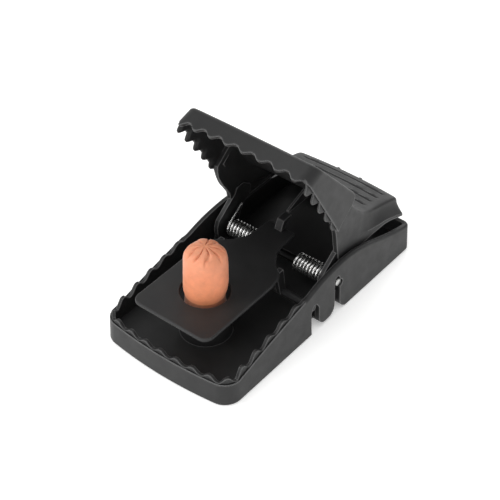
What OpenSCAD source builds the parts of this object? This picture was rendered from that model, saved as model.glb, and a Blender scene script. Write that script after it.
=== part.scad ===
// Snap mouse trap, set with its jaw open.
// +Z is up, the mouth faces -Y and the press pad is at +Y.
// The origin is at the bottom centre of the base tray.

/* [Base tray] */
// Overall width of the tray
tray_w = 47; // [44:0.5:50]
// Overall length of the tray
tray_l = 90.6; // [86:0.2:94]
// Height of the rim at the mouth
rim_front_h = 7.7; // [7:0.1:8.5]
// Height of the rim where the hump begins
rim_rear_h = 14.9; // [14:0.1:15.5]
// Height of the hump over the jaw axle
hump_h = 17.9; // [17.5:0.1:19]
// Height of the rear end wall
tail_h = 9.2; // [8:0.1:9.6]
// Thickness of the outer walls
wall = 1.7; // [1.5:0.05:1.8]
// Depth of the step between the outer wall and the teeth
step = 0.5; // [0.4:0.05:0.6]
// Top of the tray floor
floor_top = 3.5; // [3:0.1:4]
// Thickness of the tray floor
floor_t = 1.5; // [1.2:0.1:1.8]

/* [Jaw] */
// Angle that the jaw turns from closed to set
open_angle = 71; // [69:0.5:72]
// Distance from the jaw teeth roots to the axle line
jaw_edge = 8.7; // [8.5:0.1:9]
// Slope of the closed jaw's lower edge
jaw_slope = 10.7; // [10.5:0.1:11]
// Rise of the jaw's roof per millimetre of length
roof_rise = 0.42; // [0.4:0.01:0.44]
// Half width of the press lever behind the jaw
lever_x = 20.3; // [20:0.1:20.5]

/* [Axle and springs] */
// Axle position from the origin, towards the pad
axle_y = 8.8; // [8.6:0.1:9]
// Axle height
axle_z = 10.6; // [10.4:0.1:10.8]
// Axle radius
axle_r = 1.3; // [1.2:0.05:1.4]
// Mean radius of the spring coils
coil_r = 2.5; // [2.4:0.05:2.6]
// Spring wire radius
wire_r = 0.48; // [0.4:0.02:0.5]
// Turns in each spring
coil_turns = 7; // [6:1:9]

/* [Trigger and bait] */
// Top of the trigger plate when the trap is set
plate_top = 18.5; // [18:0.1:19]
// Half width of the trigger plate
plate_x = 14; // [13:0.5:14.5]
// Thickness of the trigger plate
plate_t = 1.2; // [1:0.1:1.4]
// Radius of the bait hole in the plate
hole_r = 7.6; // [7.5:0.1:8.4]
// Radius of the sausage bait
bait_r = 6.4; // [6:0.1:6.6]
// Top of the sausage bait
bait_top = 35.4; // [30:0.1:36]

/* [Hidden] */
eps = 0.01;
half_w = tray_w / 2;
half_l = tray_l / 2;

// Plan outline of the tray: a bowed front, round front corners and a slightly bowed tail.
bow_r = 140;
front_corner_r = 5.4;
tail_bow_r = 900;
tail_corner_r = 2.4;
bow_cy = bow_r - half_l;
tail_cy = half_l - tail_bow_r;
front_cx = half_w - front_corner_r;
front_cy = bow_cy - sqrt(pow(bow_r - front_corner_r, 2) - pow(front_cx, 2));
tail_cx = half_w - tail_corner_r;
tail_corner_y = tail_cy + sqrt(pow(tail_bow_r - tail_corner_r, 2) - pow(tail_cx, 2));
bow_a = atan2(front_cy - bow_cy, front_cx);
tail_a = atan2(tail_corner_y - tail_cy, tail_cx);

// Teeth of the base and of the jaw stand half a pitch apart, so they mesh when closed.
side_pitch = 6.05;
first_side_tip = -35.85;
front_pitch = 5.75;
front_tip_x = -0.75;
mesh_gap = 0.35;
teeth_end_y = -8.6;
hump_start_y = -7.4;
rim_start_y = -38;
jaw_inset = 0.15;

// The jaw panel's outline behind the teeth, in its closed place.
panel_back_low_y = -11.2;
panel_back_top_y = -14.8;
roof_ref_y = -36.9;
roof_ref_z = 17.6;
roof_end_y = -17.2;
roof_t = 1.4;

// Side-wall slots for the trigger pivot and the axle.
pivot_y = -3.4;
pivot_z = 9.2;
pivot_r = 1.3;
running_gap = 0.05;
tab_front_y = -1.6;
tab_foot = 1.2;
tab_back_y = 6.1;
slit_back_y = 8.6;
heel_r = 4;
slit_top_z = 13.6;

// Bait position and hole position.
bait_y = -24.8;
cup_r = 7.7;
cup_top = 9;
cup_floor = 1.4;

// Hook on the trigger and the catch fin on the jaw.
hook_w = 2.6;
hook_y = 9;
hook_top = 22;
catch_w = 0.8;
catch_tip_y = 13.5;
catch_low_z = 22.35;

coil_inner_x = 7.8;
coil_outer_x = 17.5;

function arc(cx, cy, r, a0, a1, n) =
    [for (i = [0 : n]) let (a = a0 + (a1 - a0) * i / n) [cx + r * cos(a), cy + r * sin(a)]];

function plan(inset) = concat(
    arc(0, bow_cy, bow_r - inset, -180 - bow_a, bow_a, 20),
    arc(front_cx, front_cy, front_corner_r - inset, bow_a, 0, 8),
    arc(tail_cx, tail_corner_y, tail_corner_r - inset, 0, tail_a, 6),
    arc(0, tail_cy, tail_bow_r - inset, tail_a, 180 - tail_a, 8),
    arc(-tail_cx, tail_corner_y, tail_corner_r - inset, 180 - tail_a, 180, 6),
    arc(-front_cx, front_cy, front_corner_r - inset, 180, 180 - bow_a, 8));

// Height of the base rim along the toothed sides.
function rim_z(y) = y < rim_start_y ? rim_front_h
    : rim_front_h + (rim_rear_h - rim_front_h) * (y - rim_start_y) / (hump_start_y - rim_start_y);

// Height of the closed jaw's lower edge.
function edge_z(y) = axle_z + (jaw_edge + sin(jaw_slope) * (y - axle_y)) / cos(jaw_slope);

function tooth_h(y) = edge_z(y) - rim_z(y) - mesh_gap;
function wave(d, pitch) = 0.5 + 0.5 * cos(360 * d / pitch);
function base_side_z(y) = rim_z(y) + tooth_h(y) * wave(y - first_side_tip, side_pitch);
function jaw_side_z(y) = edge_z(y) - tooth_h(y) * (1 - wave(y - first_side_tip, side_pitch));
function bow_y(x) = bow_cy - sqrt(pow(bow_r, 2) - pow(x, 2));
function base_front_z(x) = rim_z(bow_y(x)) + tooth_h(bow_y(x)) * wave(x - front_tip_x, front_pitch);
function jaw_front_z(x) = edge_z(bow_y(x)) - tooth_h(bow_y(x)) * (1 - wave(x - front_tip_x, front_pitch));

// Roof of the closed jaw.
function roof_z(y) = roof_ref_z + roof_rise * (y - roof_ref_y);

module plan_prism(inset, z0, z1) {
    translate([0, 0, z0]) linear_extrude(z1 - z0) polygon(plan(inset));
}

// Extrudes an outline given as [y, z] points from x0 to x1.
module side_prism(points, x0, x1) {
    translate([x0, 0, 0]) rotate([90, 0, 90]) linear_extrude(x1 - x0) polygon(points);
}

// Extrudes an outline given as [x, z] points from y0 to y1.
module front_prism(points, y0, y1) {
    translate([0, y1, 0]) rotate([90, 0, 0]) linear_extrude(y1 - y0) polygon(points);
}

module axle_bore(r, half_span) {
    translate([-half_span, axle_y, axle_z]) rotate([0, 90, 0]) cylinder(r = r, h = 2 * half_span, $fn = 48);
}

module pivot_bore(r, half_span) {
    translate([-half_span, pivot_y, pivot_z]) rotate([0, 90, 0]) cylinder(r = r, h = 2 * half_span, $fn = 48);
}

// ---------- base tray ----------
// Rim of the outer wall seen from the side: straight rise, hump over the axle, long fall to the tail.
rim_outline = concat(
    [[-half_l - 1, 0], [-half_l - 1, rim_front_h], [rim_start_y, rim_front_h],
     [hump_start_y, rim_rear_h], [hump_start_y + 1, rim_rear_h + 1.3]],
    [for (i = [1 : 10]) let (t = i / 10, y = hump_start_y + 1 + 14.4 * t)
        [y, rim_rear_h + 1.3 + (hump_h - rim_rear_h - 1.3) * sin(90 * t)]],
    [[16.4, hump_h - 0.9], [22.8, hump_h - 2.5], [40.4, tail_h + 0.5], [half_l - 1.5, tail_h],
     [half_l + 1, tail_h], [half_l + 1, 0]]);

module tray_walls() {
    intersection() {
        difference() {
            plan_prism(0, 0, 30);
            plan_prism(wall, -1, 31);
        }
        side_prism(rim_outline, -half_w - 1, half_w + 1);
    }
}

module tray_side_teeth() {
    steps = 72;
    span = teeth_end_y - rim_start_y + 4;
    side_prism(concat(
        [for (i = [0 : steps]) let (y = rim_start_y - 4 + span * i / steps) [y, base_side_z(y)]],
        [[teeth_end_y, 0], [rim_start_y - 4, 0]]), -half_w, half_w);
}

module tray_front_teeth() {
    steps = 72;
    reach = front_cx + 1.6;
    front_prism(concat(
        [for (i = [0 : steps]) let (x = -reach + 2 * reach * i / steps) [x, base_front_z(x)]],
        [[reach, 0], [-reach, 0]]), -half_l, -half_l + 8);
}

module tray_teeth() {
    intersection() {
        difference() {
            plan_prism(step, floor_top - eps, 20);
            plan_prism(wall, 0, 21);
        }
        union() {
            difference() {
                tray_side_teeth();
                translate([-front_cx - 1.6, -half_l - 1, -1]) cube([2 * front_cx + 3.2, 10, 40]);
            }
            tray_front_teeth();
        }
    }
}

// Openings cut up from the foot of one side wall: one for the trigger pivot, one for the axle.
module side_wall_slots() {
    deep = wall + 0.6;
    x0 = half_w - deep;
    translate([x0, -5.2, -1]) cube([deep + 1, 5.2 + tab_front_y, pivot_z - 3]);
    translate([x0, pivot_y - pivot_r - running_gap, -1])
        cube([deep + 1, 2 * (pivot_r + running_gap), pivot_z + 1]);
    translate([x0, tab_back_y, -1]) cube([deep + 1, slit_back_y - tab_back_y, slit_top_z + 1]);
    side_prism([[tab_front_y - 1, -1], [tab_front_y - 1, tab_foot + 2], [tab_front_y, tab_foot + 2],
                [tab_front_y + 0.7, tab_foot + 0.7], [tab_front_y + 2.2, tab_foot],
                [tab_back_y - 1.6, tab_foot], [tab_back_y - 0.4, tab_foot + 0.6],
                [tab_back_y, tab_foot + 1.8], [tab_back_y + 1, -1]], x0, half_w + 1);
    translate([x0, slit_back_y, 0]) rotate([90, 0, 90]) linear_extrude(deep + 1) difference() {
        translate([-1, -1]) square(heel_r + 1);
        translate([heel_r, heel_r]) circle(r = heel_r, $fn = 40);
    }
}

module tray_floor() {
    ribs_y = [-38, -12, 14, 26, 36];
    difference() {
        union() {
            plan_prism(wall - eps, floor_top - floor_t, floor_top);
            for (y = ribs_y)
                translate([-half_w + wall, y, 0.6]) cube([tray_w - 2 * wall, 1.2, floor_top - floor_t - 0.5]);
        }
        translate([0, bait_y, -1]) cylinder(r = cup_r + 0.1, h = 10, $fn = 64);
    }
}

module base_tray() {
    color([0.1, 0.1, 0.11]) difference() {
        union() {
            tray_walls();
            tray_teeth();
            tray_floor();
        }
        for (s = [0, 1])
            mirror([s, 0, 0]) side_wall_slots();
        pivot_bore(pivot_r + running_gap, half_w + 1);
        axle_bore(axle_r + 0.02, half_w + 1);
    }
}

module bait_cup() {
    color([0.12, 0.12, 0.13]) translate([0, bait_y, 0]) difference() {
        union() {
            translate([0, 0, 0.4]) cylinder(r = cup_r, h = cup_top - 0.4, $fn = 64);
            translate([0, 0, 0.4]) cylinder(r = cup_r + 1.1, h = floor_top - floor_t - 0.4, $fn = 64);
        }
        translate([0, 0, cup_floor]) cylinder(r = cup_r - 1, h = cup_top, $fn = 64);
        translate([-4, -0.6, 0]) cube([8, 1.2, 0.9]);
    }
}

// ---------- jaw ----------
module set_pose() {
    translate([0, axle_y, axle_z]) rotate([-open_angle, 0, 0]) translate([0, -axle_y, -axle_z]) children();
}

// Side outline of the closed jaw's shell, dropped by d under the roof and cut by b at the back.
function shell_outline(d, b) = [
    [-half_l - 1, roof_z(-half_l - 1) - d],
    [roof_end_y - b, roof_z(roof_end_y) - d - roof_rise * b],
    [roof_end_y + 1 - b, roof_z(roof_end_y) - d - 0.1],
    [roof_end_y + 1.9 - b, roof_z(roof_end_y) - d - 0.9],
    [panel_back_top_y - b, roof_z(roof_end_y) - d - 2.4],
    [panel_back_low_y - b, edge_z(panel_back_low_y) + 1 - (d > 0 ? 4 : 0)],
    [panel_back_low_y - 0.8 - b, edge_z(panel_back_low_y) - (d > 0 ? 4 : 0)],
    [-half_l - 1, edge_z(-half_l - 1) - (d > 0 ? 4 : 0)]];

module jaw_shell() {
    difference() {
        intersection() {
            plan_prism(jaw_inset, 5, 40);
            side_prism(shell_outline(0, 0), -half_w, half_w);
        }
        intersection() {
            plan_prism(jaw_inset + wall, 0, 41);
            side_prism(shell_outline(roof_t, wall), -half_w, half_w);
        }
        side_prism([[-30, 10], [-30, roof_z(-30) - roof_t], [roof_end_y, roof_z(roof_end_y) - roof_t - 1],
                    [-8, 24.5], [-8, 10]], -lever_x + 1.6, lever_x - 1.6);
    }
}

module jaw_side_teeth() {
    steps = 72;
    y0 = rim_start_y - 4;
    span = panel_back_low_y - 0.8 - y0;
    side_prism(concat(
        [for (i = [0 : steps]) let (y = y0 + span * i / steps) [y, jaw_side_z(y)]],
        [[y0 + span, edge_z(y0 + span) + 2], [y0, edge_z(y0) + 2]]), -half_w, half_w);
}

module jaw_front_teeth() {
    steps = 72;
    reach = front_cx + 1.6;
    front_prism(concat(
        [for (i = [0 : steps]) let (x = -reach + 2 * reach * i / steps) [x, jaw_front_z(x)]],
        [[reach, edge_z(-half_l) + 2.5], [-reach, edge_z(-half_l) + 2.5]]), -half_l, -half_l + 8);
}

module jaw_teeth() {
    intersection() {
        difference() {
            plan_prism(jaw_inset + step, 0, 30);
            plan_prism(jaw_inset + wall, -1, 31);
        }
        union() {
            difference() {
                jaw_side_teeth();
                translate([-front_cx - 1.6, -half_l - 1, -1]) cube([2 * front_cx + 3.2, 10, 40]);
            }
            jaw_front_teeth();
        }
    }
}

// Side outline of the press lever in its closed place: back of the jaw, press pad, underside.
lever_outer = [[-18, 22.8], [-13.5, 24.9], [-8, 27], [-2.8, 29.1], [3.6, 32.2], [14.1, 45.9],
               [20.2, 45.3], [15.6, 41], [9.8, 32.9], [2.75, 22.5], [-0.8, 18.1], [-1, 16.2],
               [-14.2, 13.2], [-15.4, 14.5], [-16.4, 20]];
lever_inner = [[-20, 20.5], [-13.5, 23.3], [-8, 25.4], [-2.2, 27.6], [4.7, 30.9], [15.2, 44.2],
               [22, 44.4], [20, 40], [3.6, 14], [-22, 10]];
shoulder = [[-16.6, 15.2], [-17, 22.6], [-15.7, 21.6], [-12.6, 15.4]];
arm_outline = [[3.4, 9.4], [1, 13.5], [-1.2, 17.2], [0.4, 22], [1.4, 23], [7.4, 16.2],
               [12, 13.8], [8.8, 10.6]];
arm_inner_x = 18.9;
arm_outer_x = lever_x;
boss_r = 5.1;
hub_r = 3.4;
hub_x = 21.5;

module press_lever() {
    difference() {
        side_prism(lever_outer, -lever_x, lever_x);
        side_prism(lever_inner, -lever_x + 1.6, lever_x - 1.6);
    }
}

module jaw_arm() {
    side_prism(arm_outline, arm_inner_x, arm_outer_x);
    translate([arm_inner_x, axle_y, axle_z]) rotate([0, 90, 0])
        cylinder(r = boss_r, h = arm_outer_x - arm_inner_x, $fn = 64);
    translate([arm_outer_x - eps, axle_y, axle_z]) rotate([0, 90, 0])
        cylinder(r = hub_r, h = hub_x - arm_outer_x + eps, $fn = 64);
}

// Grooves across the press pad, cut square to its face.
module pad_grooves() {
    pad_a = atan2(45.9 - 32.2, 14.1 - 3.6);
    for (i = [0 : 3])
        translate([0, 3.6, 32.2]) rotate([pad_a, 0, 0]) translate([-14, 3.4 + 3.4 * i, -0.5]) cube([28, 0.7, 1]);
}

// Fin under the lever, drawn in the set place, that sits over the trigger's hook.
module catch_fin() {
    side_prism([[catch_tip_y, catch_low_z], [catch_tip_y - 0.1, catch_low_z + 0.75], [22.9, 26.7],
                [25.2, 24.4], [27.3, catch_low_z]], -catch_w / 2, catch_w / 2);
}

// Lower band of the lever's cheek, drawn in the set place, with a straight foot.
module cheek_band() {
    side_prism([[10.4, 15.3], [10.6, 20.4], [12.8, 22.3], [18.1, 20.6], [30.4, 17.2], [30, 15.2], [18, 15]],
               arm_inner_x, arm_outer_x);
}

module upper_jaw() {
    color([0.1, 0.1, 0.11]) difference() {
        union() {
            set_pose() {
                jaw_shell();
                jaw_teeth();
                difference() {
                    press_lever();
                    pad_grooves();
                }
                for (s = [0, 1])
                    mirror([s, 0, 0]) {
                        jaw_arm();
                        side_prism(shoulder, lever_x - 1, half_w - jaw_inset - 0.6);
                    }
            }
            catch_fin();
            for (s = [0, 1])
                mirror([s, 0, 0]) cheek_band();
        }
        axle_bore(axle_r + running_gap, half_w + 1);
    }
}

// ---------- axle and springs ----------
module axle_pin() {
    color([0.75, 0.75, 0.76]) axle_bore(axle_r, half_w - 0.6);
}

// Spring centre line: base leg, coil, jaw leg, all worked out from the axle.
leg_a = 29;
base_leg_a = 330;
leg_l = 7.4;
base_leg_l = 8.6;
turn_steps = 16;
start_a = base_leg_a - 90;
end_a = leg_a + 90;
sweep_a = coil_turns * 360 + start_a - end_a;
coil_n = coil_turns * turn_steps;
function coil_point(t) = let (a = start_a - sweep_a * t)
    [coil_inner_x + (coil_outer_x - coil_inner_x) * t, axle_y + coil_r * cos(a), axle_z + coil_r * sin(a)];
spring_path = concat(
    [coil_point(0) + base_leg_l * [0, cos(base_leg_a), sin(base_leg_a)]],
    [for (i = [0 : coil_n]) coil_point(i / coil_n)],
    [coil_point(1) + leg_l * [0, cos(leg_a), sin(leg_a)]]);

function unit(v) = v / norm(v);
function tangent(path, i) = unit(path[min(i + 1, len(path) - 1)] - path[max(i - 1, 0)]);

// Sweeps a round wire of radius r along a path whose coils lie round the X direction.
module wire(path, r) {
    sides = 8;
    last = len(path) - 1;
    rings = [for (i = [0 : last])
        let (t = tangent(path, i), u = unit(cross(t, [1, 0, 0])), v = cross(u, t))
        for (k = [0 : sides - 1]) path[i] + r * (cos(45 * k) * u + sin(45 * k) * v)];
    faces = concat(
        [[for (k = [sides - 1 : -1 : 0]) k]],
        [for (i = [0 : last - 1]) for (k = [0 : sides - 1])
            [i * sides + k, i * sides + (k + 1) % sides, (i + 1) * sides + (k + 1) % sides, (i + 1) * sides + k]],
        [[for (k = [0 : sides - 1]) last * sides + k]]);
    polyhedron(points = rings, faces = faces);
}

module spring_right() {
    color([0.8, 0.8, 0.78]) wire(spring_path, wire_r);
}

module spring_left() {
    color([0.8, 0.8, 0.78]) mirror([1, 0, 0]) wire(spring_path, wire_r);
}

// ---------- trigger ----------
plate_front_y = -40.9;
plate_corner_r = 3;
neck_x = 5.3;

module plate_outline() {
    difference() {
        union() {
            translate([-plate_x, plate_front_y]) square([2 * plate_x, -9 - plate_front_y]);
            translate([-plate_x + 2.4, -9.5]) square([2 * plate_x - 4.8, 2.9]);
            for (s = [-1, 1])
                translate([s * (plate_x - 2.4), -9]) circle(r = 2.4, $fn = 40);
            polygon([[-plate_x + 2, -6.7], [-9.4, -4.4], [-7.2, -1.6], [-5.6, 1.8], [-neck_x, 4],
                     [neck_x, 4], [5.6, 1.8], [7.2, -1.6], [9.4, -4.4], [plate_x - 2, -6.7]]);
            translate([-neck_x, 3.9]) square([2 * neck_x, 6.7]);
        }
        for (s = [0, 1])
            mirror([s, 0]) difference() {
                translate([plate_x - plate_corner_r, plate_front_y - 1])
                    square([plate_corner_r + 1, plate_corner_r + 1]);
                translate([plate_x - plate_corner_r, plate_front_y + plate_corner_r])
                    circle(r = plate_corner_r, $fn = 40);
            }
    }
}

module hook() {
    side_prism([[hook_y - 0.3, plate_top - plate_t], [hook_y - 0.2, plate_top + 0.4], [hook_y + 1.1, hook_top - 0.2],
                [hook_y + 4.9, hook_top], [hook_y + 4.9, hook_top - 0.8], [hook_y + 3.2, hook_top - 1.4],
                [hook_y + 2.2, hook_top - 2.6], [hook_y + 1.6, plate_top - plate_t]], -hook_w / 2, hook_w / 2);
}

module trigger_plate() {
    color([0.12, 0.12, 0.13]) union() {
        difference() {
            translate([0, 0, plate_top - plate_t]) linear_extrude(plate_t) plate_outline();
            translate([0, bait_y, 0]) cylinder(r = hole_r, h = 30, $fn = 64);
        }
        hook();
        pivot_bore(pivot_r, half_w - 0.5);
        for (x = [-11.8, 10.2])
            side_prism([[pivot_y - 1.2, pivot_z], [pivot_y - 3.4, plate_top - 0.5],
                        [pivot_y - 0.4, plate_top - 0.5], [pivot_y + 1.2, pivot_z]], x, x + 1.6);
    }
}

// ---------- bait ----------
module bait_sausage() {
    dome = 5;
    color([0.9, 0.55, 0.4]) translate([0, bait_y, cup_floor + 0.1]) rotate_extrude($fn = 48)
        polygon(concat(
            [[0, 0], [bait_r - 1.5, 0], [bait_r, 2]],
            [for (i = [0 : 8]) let (a = 90 * i / 8)
                [bait_r * pow(cos(a), 0.8), bait_top - cup_floor - 0.1 - dome + dome * sin(a)]]));
}

base_tray();
bait_cup();
upper_jaw();
axle_pin();
spring_left();
spring_right();
trigger_plate();
bait_sausage();
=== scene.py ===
"""Snap mouse trap, set with its jaw open: visual model, materials, light and camera."""
import math
import bpy
import bmesh
from mathutils import Matrix, Vector, noise


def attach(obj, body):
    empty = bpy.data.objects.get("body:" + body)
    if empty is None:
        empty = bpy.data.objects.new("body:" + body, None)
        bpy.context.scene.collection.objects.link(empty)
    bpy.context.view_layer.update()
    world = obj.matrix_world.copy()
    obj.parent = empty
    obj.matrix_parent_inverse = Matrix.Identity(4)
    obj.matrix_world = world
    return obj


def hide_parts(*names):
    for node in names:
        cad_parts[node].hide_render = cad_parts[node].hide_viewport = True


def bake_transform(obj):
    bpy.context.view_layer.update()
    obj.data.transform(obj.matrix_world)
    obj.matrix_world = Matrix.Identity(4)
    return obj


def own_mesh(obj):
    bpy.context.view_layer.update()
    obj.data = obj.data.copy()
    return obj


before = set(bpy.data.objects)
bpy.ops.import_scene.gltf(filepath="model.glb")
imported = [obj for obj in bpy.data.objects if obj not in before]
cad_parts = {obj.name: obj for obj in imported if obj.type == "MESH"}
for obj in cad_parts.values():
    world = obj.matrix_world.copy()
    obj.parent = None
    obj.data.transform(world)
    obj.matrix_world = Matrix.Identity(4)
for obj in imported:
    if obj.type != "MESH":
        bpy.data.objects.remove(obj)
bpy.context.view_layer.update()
MM = 0.001

# Main places, in millimetres, as in the CAD part.
AXLE_Y, AXLE_Z = 8.8, 10.6
PIVOT_Y, PIVOT_Z = -3.4, 9.2
OPEN_ANGLE = math.radians(71)
WALL = 1.7
STEP = 0.5
FLOOR_TOP = 3.5
BAIT_Y = -24.8
RIM_START_Y, HUMP_START_Y = -38.0, -7.4
RIM_FRONT, RIM_REAR = 7.7, 14.9
PIN_BORE_R, AXLE_SEAT_R = 1.35, 1.32
BORE_REACH = 26


# ---------- small tools ----------
def mix(a, b, t):
    return a + (b - a) * t


def smooth_step(low, high, value):
    t = min(max((value - low) / (high - low), 0.0), 1.0)
    return t * t * (3 - 2 * t)


def curve_value(points, x):
    """Smooth value at x through (x, value) points."""
    if x <= points[0][0]:
        return points[0][1]
    if x >= points[-1][0]:
        return points[-1][1]
    last = len(points) - 1

    def slope(i):
        a, b = points[max(i - 1, 0)], points[min(i + 1, last)]
        return (b[1] - a[1]) / (b[0] - a[0])

    i = next(k for k in range(last) if points[k + 1][0] >= x)
    (x0, y0), (x1, y1) = points[i], points[i + 1]
    h = x1 - x0
    t = (x - x0) / h
    return ((2 * t**3 - 3 * t**2 + 1) * y0 + (t**3 - 2 * t**2 + t) * h * slope(i)
            + (3 * t**2 - 2 * t**3) * y1 + (t**3 - t**2) * h * slope(i + 1))


def mesh_piece(name, points, faces):
    """A mesh object from points in millimetres."""
    mesh = bpy.data.meshes.new(name)
    mesh.from_pydata([[MM * c for c in p] for p in points], [], faces)
    bm = bmesh.new()
    bm.from_mesh(mesh)
    bmesh.ops.remove_doubles(bm, verts=bm.verts, dist=1e-7)
    bmesh.ops.recalc_face_normals(bm, faces=bm.faces)
    bm.to_mesh(mesh)
    bm.free()
    obj = bpy.data.objects.new(name, mesh)
    bpy.context.scene.collection.objects.link(obj)
    return obj


def apply_modifiers(obj):
    bpy.context.view_layer.update()
    seen = obj.evaluated_get(bpy.context.evaluated_depsgraph_get())
    mesh = bpy.data.meshes.new_from_object(seen)
    obj.modifiers.clear()
    obj.data = mesh
    return obj


def combine(obj, tools, operation):
    """Adds or cuts closed tool meshes, which are used up."""
    for tool in tools:
        mod = obj.modifiers.new("solid", "BOOLEAN")
        mod.object = tool
        mod.operation = operation
        mod.solver = "EXACT"
        apply_modifiers(obj)
        bpy.data.objects.remove(tool)
    return obj


def bevel(obj, width, segments=2, angle=35):
    mod = obj.modifiers.new("edge", "BEVEL")
    mod.width = width * MM
    mod.segments = segments
    mod.limit_method = "ANGLE"
    mod.angle_limit = math.radians(angle)
    mod.use_clamp_overlap = True
    mod.harden_normals = False
    return apply_modifiers(obj)


def shade(obj, angle=32):
    """Smooth shading with the real corners kept sharp."""
    bm = bmesh.new()
    bm.from_mesh(obj.data)
    limit = math.radians(angle)
    for face in bm.faces:
        face.smooth = True
    for edge in bm.edges:
        edge.smooth = len(edge.link_faces) == 2 and edge.calc_face_angle(0.0) < limit
    bm.to_mesh(obj.data)
    bm.free()
    return obj


def shade_moulding(obj, angle=30):
    """Smooth shading that also keeps the big flat faces evenly lit next to their rounded edges."""
    shade(obj, angle)
    mod = obj.modifiers.new("normals", "WEIGHTED_NORMAL")
    mod.keep_sharp = True
    mod.weight = 100
    return apply_modifiers(obj)


def clean(obj):
    bm = bmesh.new()
    bm.from_mesh(obj.data)
    bmesh.ops.remove_doubles(bm, verts=bm.verts, dist=5e-7)
    bm.to_mesh(obj.data)
    bm.free()
    return obj


def turn_to_set(obj):
    """Turns a mesh drawn in the closed place about the axle to the set place."""
    axle = Vector((0, AXLE_Y * MM, AXLE_Z * MM))
    turn = Matrix.Translation(axle) @ Matrix.Rotation(-OPEN_ANGLE, 4, "X") @ Matrix.Translation(-axle)
    obj.data.transform(turn)
    return obj


def strip_faces(rings, size, wrap_path, wrap_section=True):
    """Four-sided faces between neighbouring rings of points."""
    faces = []
    count = len(rings)
    for i in range(count if wrap_path else count - 1):
        j = (i + 1) % count
        for k in range(size if wrap_section else size - 1):
            m = (k + 1) % size
            faces.append((i * size + k, i * size + m, j * size + m, j * size + k))
    return faces


def loft(name, rings):
    """A closed solid through rings of points, with flat ends."""
    size = len(rings[0])
    faces = strip_faces(rings, size, False)
    faces.append(tuple(range(size)))
    faces.append(tuple((len(rings) - 1) * size + k for k in reversed(range(size))))
    return mesh_piece(name, [p for ring in rings for p in ring], faces)


def prism(name, start, end):
    """A closed prism between two matching outlines of (x, y, z) points."""
    n = len(start)
    faces = [tuple(range(n)), tuple(range(2 * n - 1, n - 1, -1))]
    faces += [(k, (k + 1) % n, n + (k + 1) % n, n + k) for k in range(n)]
    return mesh_piece(name, start + end, faces)


def side_prism(name, outline, x0, x1):
    """A closed prism from a side outline of (y, z) points, between x0 and x1."""
    return prism(name, [(x0, y, z) for y, z in outline], [(x1, y, z) for y, z in outline])


def plan_prism(name, outline, z0, z1):
    """A closed prism from a plan outline of (x, y) points, between z0 and z1."""
    return prism(name, [(x, y, z0) for x, y in outline], [(x, y, z1) for x, y in outline])


def rounded(outline, radii, steps=8):
    """The outline with each corner rounded to its own radius."""
    out = []
    n = len(outline)
    for i, (corner, radius) in enumerate(zip(outline, radii)):
        p = Vector(corner)
        if radius <= 0:
            out.append(tuple(p))
            continue
        a = (Vector(outline[i - 1]) - p).normalized()
        b = (Vector(outline[(i + 1) % n]) - p).normalized()
        half = a.angle(b) / 2
        reach = radius / math.tan(half)
        centre = p + (a + b).normalized() * radius / math.sin(half)
        start, end = p + a * reach - centre, p + b * reach - centre
        sweep = math.atan2(start.x * end.y - start.y * end.x, start.dot(end))
        for s in range(steps + 1):
            angle = sweep * s / steps
            c, d = math.cos(angle), math.sin(angle)
            out.append((centre.x + c * start.x - d * start.y, centre.y + d * start.x + c * start.y))
    return out


def circle(centre_a, centre_b, radius, sides):
    """Points round a circle, as pairs."""
    angles = [2 * math.pi * k / sides for k in range(sides)]
    return [(centre_a + radius * math.cos(a), centre_b + radius * math.sin(a)) for a in angles]


def arc_points(centre_y, centre_z, radius, first, last, steps=10):
    """Points of an arc in a side outline, between two angles in degrees."""
    angles = [math.radians(mix(first, last, i / steps)) for i in range(steps + 1)]
    return [(centre_y + radius * math.cos(a), centre_z + radius * math.sin(a)) for a in angles]


def lathe_x(name, profile, centre_y, centre_z, sides=64):
    """A closed turned solid along X from (x, radius) points."""
    return loft(name, [[(x, y, z) for y, z in circle(centre_y, centre_z, r, sides)] for x, r in profile])


def bore(radius, centre_y, centre_z):
    """Cutter for a round hole along X through both sides."""
    return lathe_x("bore", [(-BORE_REACH, radius), (BORE_REACH, radius)], centre_y, centre_z)


# ---------- plan outline shared by tray and jaw ----------
def plan_path(half_w, front_y, tail_y, corner_r, pitch=0.3, bow_r=140.0, tail_bow=900.0, tail_r=2.4):
    """Right half of the plan from front centre to tail centre, as (x, y, nx, ny)."""
    bow_cy = front_y + bow_r
    cx = half_w - corner_r
    cy = bow_cy - math.sqrt((bow_r - corner_r) ** 2 - cx**2)
    bow_a = math.atan2(cy - bow_cy, cx)
    tail_cy = tail_y - tail_bow
    tx = half_w - tail_r
    ty = tail_cy + math.sqrt((tail_bow - tail_r) ** 2 - tx**2)
    tail_a = math.atan2(ty - tail_cy, tx)

    def arc(x, y, r, a0, a1):
        n = max(3, math.ceil(r * abs(a1 - a0) / pitch))
        angles = [mix(a0, a1, i / n) for i in range(n + 1)]
        return [(x + r * math.cos(a), y + r * math.sin(a), math.cos(a), math.sin(a)) for a in angles]

    steps = math.ceil((ty - cy) / pitch)
    side = [(half_w, mix(cy, ty, i / steps), 1.0, 0.0) for i in range(1, steps)]
    front = arc(0, bow_cy, bow_r, -math.pi / 2, bow_a)
    corner = arc(cx, cy, corner_r, bow_a, 0)
    tail = arc(tx, ty, tail_r, 0, tail_a)
    end = arc(0, tail_cy, tail_bow, tail_a, math.pi / 2)
    return front + corner[1:] + side + tail + end[1:]


def mirrored(path):
    return [(-x, y, -nx, ny) for x, y, nx, ny in reversed(path)]


# ---------- teeth ----------
SIDE_PITCH, FIRST_SIDE_TIP = 6.05, -35.85
FRONT_PITCH, FRONT_TIP_X = 5.75, -0.75
JAW_EDGE, JAW_SLOPE = 8.7, math.radians(10.7)
MESH_GAP = 0.35


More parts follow.
